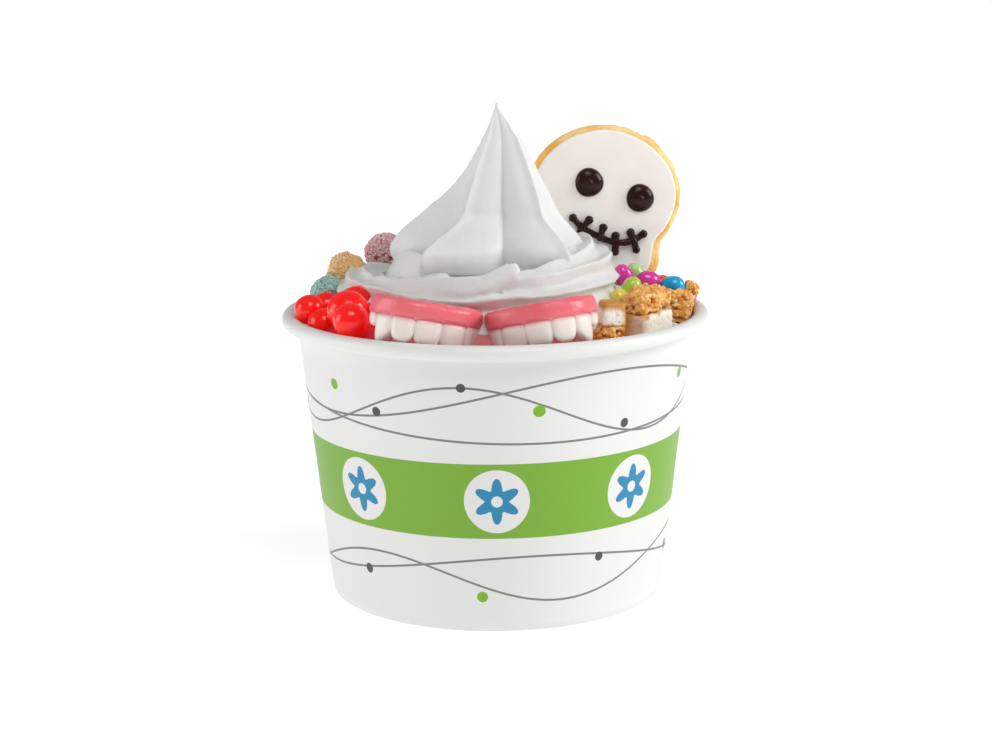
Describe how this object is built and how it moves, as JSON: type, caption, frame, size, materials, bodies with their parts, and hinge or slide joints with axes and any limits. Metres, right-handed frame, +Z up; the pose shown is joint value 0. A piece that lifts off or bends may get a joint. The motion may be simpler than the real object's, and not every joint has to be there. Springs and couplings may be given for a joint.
{
  "type": "frozen yogurt cup",
  "caption": "Paper cup of white soft-serve frozen yogurt with a fluted peak, set round with jelly sweets, candy eggs, cheesecake bites and an iced skull cookie.",
  "frame": {"origin": "on the cup's axis, on the surface that the cup stands on", "axes": "+Z up along the cup's axis; the front of the cup faces -Y; +X is to the right seen from the front"},
  "size_m": [0.1008, 0.1008, 0.115],
  "materials": {
    "biscuit": "matte",
    "blue": "satin",
    "cheesecake": "matte",
    "cherry": "gloss",
    "chocolate": "gloss",
    "crumb": "rough",
    "gum": "gloss",
    "icing": "satin",
    "lime": "satin",
    "orange": "satin",
    "paper": "satin",
    "pink": "satin",
    "sour_orange": "sugared",
    "sour_red": "sugared",
    "sour_teal": "sugared",
    "tooth": "satin",
    "yellow": "satin",
    "yogurt": "satin"
  },
  "bodies": {
    "root": {"cherry_ball_1": "cherry", "cherry_ball_2": "cherry", "cherry_ball_3": "cherry", "cherry_ball_4": "cherry", "cherry_ball_5": "cherry", "cherry_ball_6": "cherry", "cherry_ball_7": "cherry", "cherry_ball_8": "cherry", "cherry_ball_9": "cherry", "cherry_ball_10": "cherry", "cherry_ball_11": "cherry", "denture_left_teeth": "tooth", "denture_left_gum": "gum", "denture_right_teeth": "tooth", "denture_right_gum": "gum", "cookie_biscuit": "biscuit", "cookie_icing": "icing", "cookie_eye_left": "chocolate", "cookie_eye_right": "chocolate", "cookie_mouth": "chocolate", "cheesecake_1_crust": "crumb", "cheesecake_1_filling": "cheesecake", "cheesecake_2_crust": "crumb", "cheesecake_2_filling": "cheesecake", "cheesecake_3_crust": "crumb", "cheesecake_3_filling": "cheesecake", "cheesecake_4_crust": "crumb", "cheesecake_4_filling": "cheesecake", "cheesecake_5_crust": "crumb", "cheesecake_5_filling": "cheesecake", "candy_egg_1": "pink", "candy_egg_2": "lime", "candy_egg_3": "lime", "candy_egg_4": "pink", "candy_egg_5": "orange", "candy_egg_6": "blue", "candy_egg_7": "yellow", "candy_egg_8": "blue", "candy_egg_9": "pink", "candy_egg_10": "blue", "candy_egg_11": "lime", "candy_egg_12": "orange", "sour_jelly_1": "sour_red", "sour_jelly_2": "sour_orange", "sour_jelly_3": "sour_teal", "sour_jelly_4": "sour_orange", "sour_jelly_5": "sour_teal", "yogurt": "yogurt", "cup_wall": "paper", "cup_base": "paper"}
  },
  "joints": []
}
